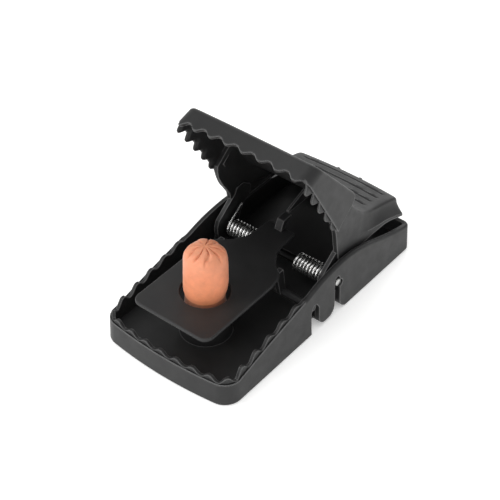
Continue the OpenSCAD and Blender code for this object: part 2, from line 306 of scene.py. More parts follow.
def rim_z(y):
    t = min(max((y - RIM_START_Y) / (HUMP_START_Y - RIM_START_Y), 0.0), 1.0)
    return mix(RIM_FRONT, RIM_REAR, t) + 0.3 * math.sin(math.pi * t)


def edge_z(y):
    return AXLE_Z + (JAW_EDGE + math.sin(JAW_SLOPE) * (y - AXLE_Y)) / math.cos(JAW_SLOPE)


def flat_wave(distance, pitch):
    """0 to 1 tooth wave with flattened tips and roots."""
    return min(max(0.5 + 0.57 * math.cos(2 * math.pi * distance / pitch), 0.0), 1.0)


def tooth_share(x, y, ny):
    """How far up the base tooth stands at this place of the rim, from 0 to 1."""
    side = flat_wave(y - FIRST_SIDE_TIP, SIDE_PITCH)
    front = flat_wave(x - FRONT_TIP_X, FRONT_PITCH)
    return mix(side, front, smooth_step(0.45, 0.8, -ny))


def tooth_height(y):
    return edge_z(y) - rim_z(y) - MESH_GAP


# ---------- base tray ----------
TRAY_HALF_W, TRAY_FRONT_Y, TRAY_TAIL_Y, TRAY_CORNER_R = 23.5, -44.8, 46.1, 5.4
HUMP = [(-7.4, 14.9), (-6, 15.1), (-3, 16.0), (1, 16.95), (5, 17.5), (10, 17.85), (14, 17.7), (19, 16.9),
        (24, 15.5), (32, 12.7), (38, 10.9), (43, 9.7), (46.6, 9.4)]


def tray_draft(z):
    return -0.35 + 0.75 * z / 18


def tray_section(x, y, ny):
    """Section of the tray wall as (inset, z), from the inner foot round the outside to the inner face."""
    hump = smooth_step(-8.3, -7.2, y)
    zs = rim_z(y)
    zt = zs + max(tooth_height(y), 0) * tooth_share(x, y, ny)
    toothed = [(0.0, zs - 0.25), (0.06, zs - 0.08), (0.18, zs), (0.23, zs - 0.1), (0.25, zs - 0.5),
               (STEP, zs - 0.55), (STEP, zt - 0.3), (STEP + 0.09, zt - 0.09), (STEP + 0.3, zt),
               (WALL - 0.3, zt), (WALL - 0.09, zt - 0.09), (WALL, zt - 0.3)]
    top = curve_value(HUMP, y) if y > HUMP_START_Y else rim_z(y)
    plain = [(0.0, top - 0.9), (0.03, top - 0.6), (0.1, top - 0.42), (0.2, top - 0.28), (0.3, top - 0.17),
             (0.42, top - 0.08), (0.55, top - 0.02), (0.72, top), (1.0, top), (1.25, top - 0.03),
             (WALL - 0.13, top - 0.13), (WALL, top - 0.45)]
    body = [(mix(a[0], b[0], hump), mix(a[1], b[1], hump)) for a, b in zip(toothed, plain)]
    return [(WALL, 0.0), (0.35, 0.0), (0.1, 0.08), (0.0, 0.35)] + body + [(WALL, 5.5)]


def tray_path(pitch=0.3):
    """The tray's whole plan outline as (x, y, nx, ny)."""
    half = plan_path(TRAY_HALF_W, TRAY_FRONT_Y, TRAY_TAIL_Y, TRAY_CORNER_R, pitch)
    return half[:-1] + mirrored(half)[:-1]


def tray_wall():
    rings = []
    for x, y, nx, ny in tray_path():
        ring = []
        for inset, z in tray_section(x, y, ny):
            d = inset + tray_draft(z)
            ring.append((x - nx * d, y - ny * d, z))
        rings.append(ring)
    size = len(rings[0])
    return mesh_piece("tray_shell", [p for r in rings for p in r], strip_faces(rings, size, True))


def inset_outline(inset):
    return [(x - nx * inset, y - ny * inset) for x, y, nx, ny in tray_path(1.2)]


# Openings in the side walls: start and end along Y and, for the slots, the top.
PIVOT_SLOT = (-5.2, -1.4, 9.4)
AXLE_SLOT = (6.1, 8.7, 13.9)
SLOT_CORNER_R = 1.2
TAB_FRONT_R, TAB_REAR_R, HEEL_R = 2.8, 3.2, 4.0
CUT_BOTTOM = -1
CUT_INNER_X, CUT_OUTER_X = 20.8, 25


def slot_outline(start, end, top):
    corners = [(start, CUT_BOTTOM), (start, top), (end, top), (end, CUT_BOTTOM)]
    return rounded(corners, [0, SLOT_CORNER_R, SLOT_CORNER_R, 0])


def slot_cutters():
    """Openings up from the foot of each side wall: trigger pivot, axle, and the tab's rounded foot."""
    tab_start, tab_end, heel_start = PIVOT_SLOT[1], AXLE_SLOT[0], AXLE_SLOT[1]
    tab = [(tab_start - 0.1, CUT_BOTTOM), (tab_start - 0.1, 3.9), (tab_start, 3.9)]
    tab += arc_points(tab_start + TAB_FRONT_R, 3.8, TAB_FRONT_R, 180, 270)
    tab += arc_points(tab_end - TAB_REAR_R, 4.2, TAB_REAR_R, 270, 360)
    tab += [(tab_end + 0.2, 4.3), (tab_end + 0.2, CUT_BOTTOM)]
    heel = [(heel_start - 0.2, CUT_BOTTOM), (heel_start - 0.2, 4.1)]
    heel += arc_points(heel_start + HEEL_R, 4.0, HEEL_R, 180, 270)
    heel += [(heel_start + HEEL_R, CUT_BOTTOM)]
    cutters = []
    for side in (1, -1):
        x0, x1 = sorted((side * CUT_INNER_X, side * CUT_OUTER_X))
        for outline in (slot_outline(*PIVOT_SLOT), tab, slot_outline(*AXLE_SLOT), heel):
            cutters.append(side_prism("cutter", outline, x0, x1))
    return cutters


def slot_webs():
    """Low web on the inner side of each wall behind the axle slot."""
    outline = [(5.4, 2.4), (9.4, 2.4), (9.4, 6.9), (5.4, 6.9)]
    return [side_prism("web", outline, *sorted((side * 20.4, side * 21.9))) for side in (1, -1)]


RIB_T, RIB_BOTTOM, RIB_REACH = 1.2, 0.6, 22.2


def tray_floor():
    plate = plan_prism("floor_plate", inset_outline(WALL - 0.6), FLOOR_TOP - 1.5, FLOOR_TOP)
    ribs = []
    for y in (-38, -12, 14, 26, 36):
        outline = [(y, RIB_BOTTOM), (y + RIB_T, RIB_BOTTOM), (y + RIB_T, FLOOR_TOP - 1), (y, FLOOR_TOP - 1)]
        ribs.append(side_prism("rib", outline, -RIB_REACH, RIB_REACH))
    return combine(plate, ribs, "UNION")


CUP_HOLE_R = 7.8


def make_tray():
    tray = combine(tray_wall(), [tray_floor()], "UNION")
    combine(tray, slot_cutters(), "DIFFERENCE")
    combine(tray, slot_webs(), "UNION")
    cup_hole = plan_prism("cup_hole", circle(0, BAIT_Y, CUP_HOLE_R, 72), -1, 5)
    bores = [bore(PIN_BORE_R, PIVOT_Y, PIVOT_Z), bore(AXLE_SEAT_R, AXLE_Y, AXLE_Z)]
    combine(tray, bores + [cup_hole], "DIFFERENCE")
    tray.name = "tray_body"
    return shade_moulding(clean(tray))


# ---------- jaw ----------
ROOF_SLOPE = 0.428
ROOF_REF_Y, ROOF_REF_Z = -36.9, 17.9
ROOF_T = 1.5
FILLET = 1.1
JAW_HALF_W, JAW_FRONT_Y, JAW_TAIL_Y, JAW_CORNER_R = 23.35, -44.9, 45.2, 4.4
JAW_REAR_Y = -8


def roof_z(y):
    return ROOF_REF_Z + ROOF_SLOPE * (y - ROOF_REF_Y)


def jaw_draft(z):
    return 0.45 * (z - 9) / 16


def jaw_section(x, y, nx, ny):
    """Section of the closed jaw's wall as points, from the roof down the outside and up the inside."""
    flush = smooth_step(0.55, 0.9, -ny)
    ze = edge_z(y) + 0.3 * flush
    zt = ze - max(tooth_height(y), 0) * (1 - tooth_share(x, y, ny))
    stepped = [(0.0, ze + 0.9), (0.0, ze + 0.3), (0.06, ze + 0.08), (0.18, ze), (0.23, ze + 0.1),
               (0.25, ze + 0.5), (STEP, ze + 0.52), (STEP, zt + 0.3), (STEP + 0.09, zt + 0.09),
               (STEP + 0.3, zt)]
    plain = [(0.0, mix(ze + 0.9, zt + 0.3, k / 7)) for k in range(8)] + [(0.09, zt + 0.09), (0.3, zt)]
    wall_part = [(mix(a[0], b[0], flush), mix(a[1], b[1], flush)) for a, b in zip(stepped, plain)]
    wall_part += [(STEP + 0.5, zt + 0.05), (STEP + 0.8, zt + 0.35), (WALL - 0.08, zt + 1.2),
                  (WALL, zt + 1.6), (WALL, ze + 1.9)]
    points = []

    def add(inset, z):
        d = inset + jaw_draft(z)
        points.append((x - nx * d, y - ny * d, z))

    def add_roof(inset, drop):
        d = inset + jaw_draft(roof_z(y))
        px, py = x - nx * d, y - ny * d
        points.append((px, py, roof_z(py) - drop))

    for i in range(6):
        a = math.radians(90 * i / 5)
        add_roof(FILLET * (1 - math.sin(a)), FILLET * (1 - math.cos(a)))
    for inset, z in wall_part:
        add(inset, z)
    for inset, drop in ((WALL, ROOF_T + 1.2), (WALL + 0.25, ROOF_T + 0.5), (WALL + 0.6, ROOF_T + 0.15),
                        (WALL + 1.2, ROOF_T)):
        add_roof(inset, drop)
    return points


def jaw_shell():
    """The closed jaw's walls and roof, still open at the rear, as one solid."""
    half = plan_path(JAW_HALF_W, JAW_FRONT_Y, JAW_TAIL_Y, JAW_CORNER_R)
    right = [p for p in half if p[1] < JAW_REAR_Y]
    path = list(reversed(right)) + [(-x, y, -nx, ny) for x, y, nx, ny in right[1:]]
    rings = [jaw_section(*p) for p in path]
    size, count = len(rings[0]), len(rings)
    faces = strip_faces(rings, size, False, False)
    first = list(range(size))
    last = [(count - 1) * size + k for k in range(size)]
    faces.append(tuple(i * size for i in range(count)))
    faces.append(tuple(reversed([i * size + size - 1 for i in range(count)])))
    faces.append(tuple(first))
    faces.append(tuple(reversed(last)))
    faces.append((first[0], first[-1], last[-1], last[0]))
    return mesh_piece("jaw_shell", [p for r in rings for p in r], faces)


# The jaw panel's rear edge from the roof down, as (y, z, corner radius), in the closed place.
PANEL_REAR = [(-15.75, 27.3, 3.5), (-13.4, 20.4, 2), (-12.1, 16.9, 1.2), (-11.0, 15.6, 0.6),
              (-10.9, -10, 0)]
PANEL_EDGE_R, PANEL_EDGE_X = 0.3, 22.7
FAR_Y, FAR_X = -70, 30.0


def panel_rear(shift):
    """Side outline of everything in front of the jaw panel's rear edge, moved forward by shift."""
    top_y, top_z, _ = PANEL_REAR[0]
    outline = [(FAR_Y, -10), (FAR_Y, roof_z(FAR_Y) + 0.4), (top_y - shift, top_z - shift * ROOF_SLOPE)]
    outline += [(y - shift, z) for y, z, _ in PANEL_REAR[1:]]
    return rounded(outline, [0, 0] + [radius for _, _, radius in PANEL_REAR])


def panel_keep():
    """Everything in front of the panel's rear edge; it draws in near the sides to round that edge."""
    steps = 6
    right = [(PANEL_EDGE_X, 0.0)]
    for i in range(1, steps + 1):
        t = i / steps
        right.append((PANEL_EDGE_X + PANEL_EDGE_R * t, PANEL_EDGE_R * (1 - math.sqrt(1 - t * t))))
    right.append((FAR_X, PANEL_EDGE_R))
    stations = [(-x, shift) for x, shift in reversed(right)] + right
    return loft("keep", [[(x, y, z) for y, z in panel_rear(shift)] for x, shift in stations])


def jaw_panel():
    """The jaw's toothed panel with its shoulders, turned to the set place."""
    panel = combine(jaw_shell(), [panel_keep()], "INTERSECT")
    return turn_to_set(combine(panel, [shoulder(1), shoulder(-1)], "UNION"))


def shoulder(side):
    """Web that closes the step between the jaw panel and the lever's cheek, in the closed place."""
    outline = [(-17.6, 25.2), (-16.6, 24.6), (-15.3, 23.3), (-13.9, 20.2), (-12.7, 17.4), (-14.3, 17.2),
               (-15.6, 20.4), (-17.0, 22.6), (-18.6, 23.4)]
    x0, x1 = sorted((side * 19.6, side * 22.3))
    return side_prism("shoulder", outline, x0, x1)


# Stations of the press lever in the set place: top and flare as (y, z, half width), foot as (y, z).
LEVER = [
    ((12.55, 41.0, 22.1), (9.0, 37.9, 22.2), (5.8, 34.4)),
    ((12.95, 40.6, 20.8), (9.4, 36.0, 20.9), (8.0, 31.2)),
    ((13.4, 40.2, 20.7), (9.9, 33.2, 20.8), (9.2, 27.4)),
    ((14.2, 39.2, 20.7), (11.4, 27.6, 20.8), (9.9, 22.6)),
    ((16.2, 35.6, 20.55), (13.0, 24.6, 20.8), (11.4, 15.8)),
    ((18.6, 31.9, 20.3), (16.0, 21.9, 20.8), (14.4, 15.0)),
    ((22.3, 27.7, 19.8), (19.6, 20.1, 20.8), (18.6, 15.0)),
    ((26.5, 23.9, 19.2), (24.0, 18.6, 20.8), (23.4, 15.0)),
    ((31.2, 21.6, 18.7), (30.0, 17.0, 20.9), (29.6, 15.2)),
    ((36.2, 20.3, 18.6), (36.0, 15.9, 21.0), (35.9, 14.9)),
    ((41.9, 18.8, 18.7), (41.5, 14.0, 21.1), (41.4, 13.2)),
    ((44.1, 17.9, 18.6), (44.3, 12.9, 21.0), (44.3, 12.1)),
]
# The lever's rounded end: y, height and half width of the top and of the flare, then the foot's height.
LEVER_END = [(45.0, 17.1, 17.8, 12.3, 20.3, 11.7), (45.5, 16.3, 16.9, 12.1, 19.3, 11.5),
             (45.7, 15.6, 16.0, 12.0, 18.2, 11.4)]
GROOVES_Y = (31.4, 34.8, 38.2, 41.6)
GROOVE_DEPTH, GROOVE_HALF_W, GROOVE_BOW = 0.35, 0.42, 0.9
LEVER_T = 1.5
LEVER_THIN_T = 0.85
LEVER_EDGE_R = 1.1
LEVER_BOW_W = 17
# How far the left cheek's front edge stands ahead of the right one, by height.
LEFT_LEAD = [(22.0, 0.0), (24.5, 1.2), (27.4, 2.6), (31.2, 2.8), (34.4, 0.3)]


def fine_stations(full, step=0.35):
    """Fine stations along the lever, smooth through the given ones."""
    s = [0.0]
    for a, b in zip(full, full[1:]):
        s.append(s[-1] + math.dist(a[0][:2], b[0][:2]) + 0.01)
    keys = ((0, 0), (0, 1), (0, 2), (1, 0), (1, 1), (1, 2), (2, 0), (2, 1))
    channels = {(i, j): [(u, st[i][j]) for u, st in zip(s, full)] for i, j in keys}
    count = math.ceil(s[-1] / step)
    out = []
    for n in range(count + 1):
        u = s[-1] * n / count
        v = {key: curve_value(ch, u) for key, ch in channels.items()}
        out.append(((v[0, 0], v[0, 1], v[0, 2]), (v[1, 0], v[1, 1], v[1, 2]), (v[2, 0], v[2, 1])))
    return out


def groove_depth(x, y):
    """Depth of the press pad's cross grooves, which bow a little and stop short of the edges."""
    depth = 0.0
    for gy in GROOVES_Y:
        centre = gy + GROOVE_BOW * (1 - (x / LEVER_BOW_W) ** 2)
        depth += GROOVE_DEPTH * math.exp(-((y - centre) / GROOVE_HALF_W) ** 4)
    return depth * smooth_step(15.4, 14.6, abs(x))


def lever_section(station, end_share, grooved, side):
    """Half section from the centre of the top to the foot, as (x, y, z)."""
    (ty, tz, tw), (fy, fz, fw), (by, bz) = station
    if side < 0 and bz > LEFT_LEAD[0][0]:
        by -= curve_value(LEFT_LEAD, bz)
    flat = tw - LEVER_EDGE_R
    out = []
    for i in range(29):
        x = flat * i / 28
        y = ty + 0.55 * (1 - (x / LEVER_BOW_W) ** 2) * end_share
        crown = 0.25 * (1 - (x / tw) ** 2) * smooth_step(20, 34, ty)
        out.append((x, y, tz + crown - (groove_depth(x, y) if grooved else 0.0)))
    dy, dz = fy - ty, fz - tz
    start = LEVER_EDGE_R * 0.75 / math.hypot(dy, dz)
    for i in range(1, 6):
        a = math.radians(90 * i / 5)
        share = start * (1 - math.cos(a))
        out.append((flat + LEVER_EDGE_R * math.sin(a), ty + dy * share, tz + dz * share))
    for i in range(1, 15):
        t = i / 14
        share = mix(start, 1, t)
        out.append((tw + (fw - tw) * t ** 1.7, ty + dy * share, tz + dz * share))
    for i in range(1, 7):
        t = i / 6
        out.append((fw + 0.12 * t, mix(fy, by, t), mix(fz, bz, t)))
    return out


def lever_solid(name, stations, grooved):
    rings = []
    for station in stations:
        end_share = smooth_step(38, 45, station[0][0])
        left = lever_section(station, end_share, grooved, -1)
        right = lever_section(station, end_share, grooved, 1)
        rings.append([(-x, y, z) for x, y, z in reversed(left[1:])] + right)
    return loft(name, rings)


def lever_core():
    """Stations of the space under the lever: its skin is LEVER_T thick, and the foot is open."""
    tops = [Vector(t[:2]) for t, f, b in LEVER]
    out = []
    for i, ((ty, tz, tw), (fy, fz, fw), (by, bz)) in enumerate(LEVER):
        along = (tops[min(i + 1, len(tops) - 1)] - tops[max(i - 1, 0)]).normalized()
        down = Vector((along.y, -along.x))
        ahead = -6.0 * along if i == 0 else Vector((0, 0))
        back = Vector((-LEVER_T, 0)) if i == len(tops) - 1 else Vector((0, 0))
        shift = down * LEVER_T + ahead + back
        foot = ahead + back + (Vector((-2.0, -3.0)) if by < 12 else Vector((0, -4.0)))
        skin = mix(LEVER_THIN_T, LEVER_T, smooth_step(12.6, 13.4, ty))
        out.append(((ty + shift.x, tz + shift.y, tw - skin),
                    (fy + ahead.x + back.x, fz + ahead.y, fw - skin), (by + foot.x, bz + foot.y)))
    return out


def lever_shell():
    ends = [((y, zt, wt), (y, zf, wf), (y, zb)) for y, zt, wt, zf, wf, zb in LEVER_END]
    outer = lever_solid("lever_shell", fine_stations(LEVER + ends), True)
    inner = lever_solid("lever_core", fine_stations(lever_core(), 1.0), False)
    return combine(outer, [inner], "DIFFERENCE")


def arm(side):
    """Arm from the cheek down to its boss on the axle, in the set place."""
    outline = [(12.8, 22.6), (12.0, 20.6), (9.9, 19.1), (6.9, 16.8), (4.1, 14.7), (3.4, 12.6), (3.4, 10.6),
               (4.0, 8.4), (5.4, 6.8), (7.2, 5.8), (8.8, 5.5), (10.6, 5.8), (12.4, 7.0), (13.5, 8.8),
               (13.9, 10.6), (14.6, 12.8), (16.4, 15.2), (19.0, 16.6), (19.6, 20.0), (16.0, 22.8)]
    x0, x1 = sorted((side * 18.9, side * 20.3))
    return side_prism("arm", rounded(outline, [1.0] * len(outline), 4), x0, x1)


def hubs():
    """Short round hubs on the arms that keep the jaw centred between the tray walls."""
    return [lathe_x("hub", [(side * 20.0, 3.4), (side * 21.3, 3.4), (side * 21.5, 3.2)], AXLE_Y, AXLE_Z)
            for side in (1, -1)]


def cheek_band(side):
    """Straight bar with a sloped top along the inside of the cheek's foot, in the set place."""
    section = [(19.8, 15.4), (18.95, 15.4), (18.95, 16.5), (19.4, 17.0), (19.8, 17.0)]
    return prism("band", *[[(side * x, y, z) for x, z in section] for y in (9.9, 29.5)])


def catch_fin():
    """Fin under the lever that sits over the trigger's hook, in the set place."""
    outline = [(13.5, 22.35), (13.4, 23.1), (22.9, 26.7), (25.2, 24.4), (27.3, 22.35)]
    return side_prism("fin", rounded(outline, [0.2, 0.3, 0, 0, 0], 3), -0.4, 0.4)


def nibs():
    """Two small moulded nibs on the pad's rear edge."""
    out = []
    for x in (-4.2, 4.2):
        outline = [(44.5, 16.4), (44.5, 17.8), (45.3, 17.9), (45.8, 17.5), (45.8, 16.6)]
        out.append(side_prism("nib", rounded(outline, [0, 0.2, 0.3, 0.3, 0.2], 3), x - 0.35, x + 0.35))
    return out


def make_jaw():
    jaw = jaw_panel()
    lever = lever_shell()
    sides = [arm(1), arm(-1), cheek_band(1), cheek_band(-1)]
    combine(lever, sides + [catch_fin()] + hubs() + nibs(), "UNION")
    combine(jaw, [lever], "UNION")
    combine(jaw, [bore(PIN_BORE_R, AXLE_Y, AXLE_Z)], "DIFFERENCE")
    jaw.name = "jaw_body"
    return shade_moulding(clean(jaw))


# ---------- trigger ----------
PLATE_TOP, PLATE_T = 18.5, 1.2
BAIT_HOLE_R = 7.3
LUG_T = 1.6


def plate_outline():
    right = [(14, -40.9), (14, -11.6), (13.2, -7.4), (12.2, -6.0), (9.8, -4.2), (7.8, -2.1), (5.9, 1.1),
             (5.3, 3.9), (5.3, 7.5), (5.0, 11.0)]
    radii = [3, 4, 2.5, 2, 1, 1, 2.5, 1, 0.5, 0.6]
    left = [(-x, y) for x, y in reversed(right)]
    return rounded(right + left, radii + radii[::-1], 8)


def trigger_hook():
    """Hook standing on the rear end of the plate's neck and leaning back under the jaw's fin."""
    foot = PLATE_TOP - PLATE_T + 0.2
    outline = [(8.6, foot), (8.8, 18.9), (10.1, 21.8), (13.9, 22.0), (13.9, 21.2), (12.2, 20.6),
               (11.2, 19.4), (11.0, foot)]
    hook = side_prism("hook", rounded(outline, [0, 0.3, 0.4, 0.3, 0.3, 0.4, 0.3, 0], 4), -1.3, 1.3)
    return bevel(hook, 0.2, 2, 40)


def trigger_arms():
    """Lugs that join the plate to the shaft it turns on."""
    outline = [(PIVOT_Y - 1.2, PIVOT_Z - 1.0), (PIVOT_Y - 3.4, PLATE_TOP - 0.5),
               (PIVOT_Y - 0.2, PLATE_TOP - 0.5), (PIVOT_Y + 1.2, PIVOT_Z - 1.0)]
    return [side_prism("lug", rounded(outline, [1.0, 0, 0, 1.0], 5), x, x + LUG_T) for x in (-11.8, 10.2)]


def make_trigger():
    plate = plan_prism("trigger_body", plate_outline(), PLATE_TOP - PLATE_T, PLATE_TOP)
    hole = plan_prism("hole", circle(0, BAIT_Y, BAIT_HOLE_R, 96), 10, 30)
    combine(plate, [hole], "DIFFERENCE")
    bevel(plate, 0.45, 4, 50)
    shaft = lathe_x("shaft", [(-23.1, 0.9), (-22.8, 1.28), (22.8, 1.28), (23.1, 0.9)], PIVOT_Y, PIVOT_Z)
    combine(plate, [trigger_hook()] + trigger_arms() + [shaft], "UNION")
    return shade_moulding(clean(plate), 34)


# ---------- metal ----------
COIL_R, WIRE_R, TURNS = 2.5, 0.45, 8
COIL_IN, COIL_OUT = 7.8, 17.5
BASE_LEG_A, JAW_LEG_A = math.radians(330), math.radians(29.0)
BASE_LEG_L, JAW_LEG_L = 8.6, 7.4


def spring_path():
    """Centre line of the right spring: base leg, coil, jaw leg, with short bends between them."""
    start = BASE_LEG_A - math.pi / 2
    sweep = TURNS * 2 * math.pi + start - JAW_LEG_A - math.pi / 2
    steps = TURNS * 44

    def coil(t):
        a = start - sweep * t
        x = mix(COIL_IN, COIL_OUT, t)
        return Vector((x, AXLE_Y + COIL_R * math.cos(a), AXLE_Z + COIL_R * math.sin(a)))

    base_leg = BASE_LEG_L * Vector((0, math.cos(BASE_LEG_A), math.sin(BASE_LEG_A)))
    jaw_leg = JAW_LEG_L * Vector((0, math.cos(JAW_LEG_A), math.sin(JAW_LEG_A)))
    path = [coil(0) + (1 - i / 12) * base_leg for i in range(12)]
    path += [coil(i / steps) for i in range(steps + 1)]
    path += [coil(1) + jaw_leg * i / 16 + Vector((0.5 * smooth_step(0, 16, i), 0, 0)) for i in range(1, 17)]
    return path


def swept_wire(name, path, radius, sides=14):
    """Round wire along a path."""
    rings = []
    last = len(path) - 1
    for i, p in enumerate(path):
        tangent = (path[min(i + 1, last)] - path[max(i - 1, 0)]).normalized()
        u = tangent.cross(Vector((1, 0, 0))).normalized()
        v = u.cross(tangent)
        rings.append([p + a * u + b * v for a, b in circle(0, 0, radius, sides)])
    return loft(name, rings)


def make_spring(name, side):
    path = [Vector((side * p.x, p.y, p.z)) for p in spring_path()]
    return shade(swept_wire(name, path, WIRE_R), 50)


def make_axle():
    profile = [(-22.95, 0.95), (-22.7, 1.25), (-22.4, 1.3), (22.4, 1.3), (22.7, 1.25), (22.95, 0.95)]
    return shade(lathe_x("axle_rod", profile, AXLE_Y, AXLE_Z), 40)


# ---------- bait ----------
# The sausage's radius by height, then its tied tip as (height, radius).
SAUSAGE_PROFILE = [(1.5, 4.6), (1.9, 5.4), (3.0, 6.0), (6, 6.25), (12, 6.2), (16.4, 5.9), (17.9, 5.9),
                   (18.7, 6.08), (19.8, 6.32), (21.5, 6.45), (24, 6.48), (28, 6.46), (30.2, 6.34),
                   (31.8, 6.02), (33.0, 5.5), (33.9, 4.8), (34.5, 4.0), (34.9, 3.0)]
SAUSAGE_TIP = [(35.0, 2.6), (35.1, 2.2), (35.2, 1.8), (35.3, 1.4), (35.38, 1.0), (35.42, 0.7), (35.42, 0.4),
               (35.4, 0.2)]
SAUSAGE_FOOT, SAUSAGE_NECK = 1.5, 34.9
SAUSAGE_LEAN = 0.35
FOLDS = 9


def pucker(angle, z, radius):
    """Depth of the folds that run from the tied tip down over the dome."""
    around = Vector((math.cos(angle), math.sin(angle), 0))
    warp = 0.35 * noise.noise(around * 1.6 + Vector((0, 0, 0.25 * radius)))
    phase = 0.5 * FOLDS * (angle + warp)
    valley = max(0.0, 1 - abs(math.sin(phase)) / 0.6) ** 1.5
    length = 0.5 + 0.9 * noise.noise(around * 2.3 + Vector((4.0, 1.0, 0.0)))
    low = mix(33.0, 30.8, min(max(length, 0.0), 1.0))
    reach = smooth_step(low, 34.2, z) * smooth_step(0.1, 1.6, radius)
    return 0.8 * valley * reach


def sausage_point(angle, z, radius):
    """A point of the skin, with slow swells, a lumpy dome and the folds."""
    around = Vector((math.cos(angle), math.sin(angle), 0))
    skin = noise.noise(around * 1.5 + Vector((0, 0, z * 0.16)))
    knob = noise.noise(around * radius * 0.3 + Vector((0, 0, z * 0.2 + 7)))
    top = smooth_step(29.5, 33.5, z)
    fold = pucker(angle, z, radius)
    swell = smooth_step(0.5, 4, radius) * (0.10 * skin + 0.35 * top * knob)
    r = radius + swell - fold * smooth_step(2, 5.5, radius)
    height = z + 0.45 * top * knob - fold * top * smooth_step(6.2, 4.0, radius)
    lean = SAUSAGE_LEAN * smooth_step(18, 24, z)
    return (lean + r * around.x, BAIT_Y + r * around.y, height)


def make_sausage():
    sides, count = 180, 100
    heights = [mix(SAUSAGE_FOOT, SAUSAGE_NECK, i / count) for i in range(count + 1)]
    sizes = [(z, curve_value(SAUSAGE_PROFILE, z)) for z in heights] + SAUSAGE_TIP
    rings = [[sausage_point(2 * math.pi * k / sides, z, r) for k in range(sides)] for z, r in sizes]
    return shade(loft("sausage", rings), 60)


# ---------- materials ----------
def new_material(name):
    material = bpy.data.materials.new(name)
    material.use_nodes = True
    nodes, links = material.node_tree.nodes, material.node_tree.links
    return material, nodes, links, nodes["Principled BSDF"]


def noise_node(nodes, links, scale, detail=4.0, rough=0.55):
    coords = nodes.new("ShaderNodeTexCoord")
    tex = nodes.new("ShaderNodeTexNoise")
    tex.inputs["Scale"].default_value = scale
    tex.inputs["Detail"].default_value = detail
    tex.inputs["Roughness"].default_value = rough
    links.new(coords.outputs["Object"], tex.inputs["Vector"])
    return tex


def ramp_node(nodes, links, source, low, high, low_value, high_value):
    """The source mapped from low..high to low_value..high_value."""
    ramp = nodes.new("ShaderNodeMapRange")
    ramp.inputs["From Min"].default_value = low
    ramp.inputs["From Max"].default_value = high
    ramp.inputs["To Min"].default_value = low_value
    ramp.inputs["To Max"].default_value = high_value
    links.new(source, ramp.inputs["Value"])
    return ramp.outputs["Result"]


def colour_mix(nodes, links, share, first, second):
    """A colour between first and second."""
    colour = nodes.new("ShaderNodeMix")
    colour.data_type = "RGBA"
    colour.inputs["A"].default_value = (*first, 1)
    colour.inputs["B"].default_value = (*second, 1)
    links.new(share, colour.inputs["Factor"])
    return colour


def surface_grain(nodes, links, shader, source, strength, depth=0.0001):
    bump = nodes.new("ShaderNodeBump")
    bump.inputs["Strength"].default_value = strength
    bump.inputs["Distance"].default_value = depth
    links.new(source, bump.inputs["Height"])
    links.new(bump.outputs["Normal"], shader.inputs["Normal"])


def object_axis(nodes, links, axis):
    coords = nodes.new("ShaderNodeTexCoord")
    split = nodes.new("ShaderNodeSeparateXYZ")
    links.new(coords.outputs["Object"], split.inputs["Vector"])
    return split.outputs[axis]


def edge_highlight_paint(nodes, links):
    """Painted highlight mask: strong on outward edges, where it stands in for the glint of light on their
    rounded fillets, and zero on flat faces and in corners.
    """
    geometry = nodes.new("ShaderNodeNewGeometry")
    rounded_edge = nodes.new("ShaderNodeBevel")
    rounded_edge.samples = 8
    rounded_edge.inputs["Radius"].default_value = 0.55 * MM
    turned = nodes.new("ShaderNodeVectorMath")
    turned.operation = "DOT_PRODUCT"
    links.new(rounded_edge.outputs["Normal"], turned.inputs[0])
    links.new(geometry.outputs["Normal"], turned.inputs[1])
    near_edge = ramp_node(nodes, links, turned.outputs["Value"], 0.998, 0.95, 0.0, 0.7)
    outward = ramp_node(nodes, links, geometry.outputs["Pointiness"], 0.496, 0.506, 0.0, 1.0)
    highlight_mask = nodes.new("ShaderNodeMath")
    highlight_mask.operation = "MULTIPLY"
    links.new(near_edge, highlight_mask.inputs[0])
    links.new(outward, highlight_mask.inputs[1])
    return highlight_mask.outputs["Value"]


BLACK, SOFT_BLACK = (0.012, 0.012, 0.0125), (0.018, 0.018, 0.018)
# Painted highlight: how much lighter than the plastic its outward edges are painted.
EDGE_HIGHLIGHT_GAIN = 8


def moulded_plastic(name, roughness, light=SOFT_BLACK):
    """Satin black moulding: faint cloudy colour, fine grain and a painted highlight along its outward
    edges.
    """
    material, nodes, links, shader = new_material(name)
    cloud = noise_node(nodes, links, 90, 5, 0.6)
    share = ramp_node(nodes, links, cloud.outputs["Fac"], 0.3, 0.7, 0.0, 1.0)
    colour = colour_mix(nodes, links, share, BLACK, light)
    # Painted highlight along the outward edges, laid over the cloudy colour.
    highlit = colour_mix(nodes, links, edge_highlight_paint(nodes, links), BLACK, [EDGE_HIGHLIGHT_GAIN * c for c in light])
    links.new(colour.outputs["Result"], highlit.inputs["A"])
    links.new(highlit.outputs["Result"], shader.inputs["Base Color"])
    sheen = noise_node(nodes, links, 260, 3)
    gloss = ramp_node(nodes, links, sheen.outputs["Fac"], 0.3, 0.7, roughness - 0.05, roughness + 0.05)
    links.new(gloss, shader.inputs["Roughness"])
    fine = noise_node(nodes, links, 2600, 2)
    surface_grain(nodes, links, shader, fine.outputs["Fac"], 0.06)
    shader.inputs["Specular IOR Level"].default_value = 0.34
    return material


def bright_steel(name, roughness):
    """Drawn spring wire: bright metal with fine streaks."""
    material, nodes, links, shader = new_material(name)
    streak = noise_node(nodes, links, 900, 3).outputs["Fac"]
    colour = colour_mix(nodes, links, streak, (0.72, 0.72, 0.71), (0.88, 0.88, 0.87))
    links.new(colour.outputs["Result"], shader.inputs["Base Color"])
    shader.inputs["Metallic"].default_value = 1.0
    gloss = ramp_node(nodes, links, streak, 0.3, 0.7, roughness, roughness + 0.05)
    links.new(gloss, shader.inputs["Roughness"])
    surface_grain(nodes, links, shader, streak, 0.05, 0.00005)
    return material


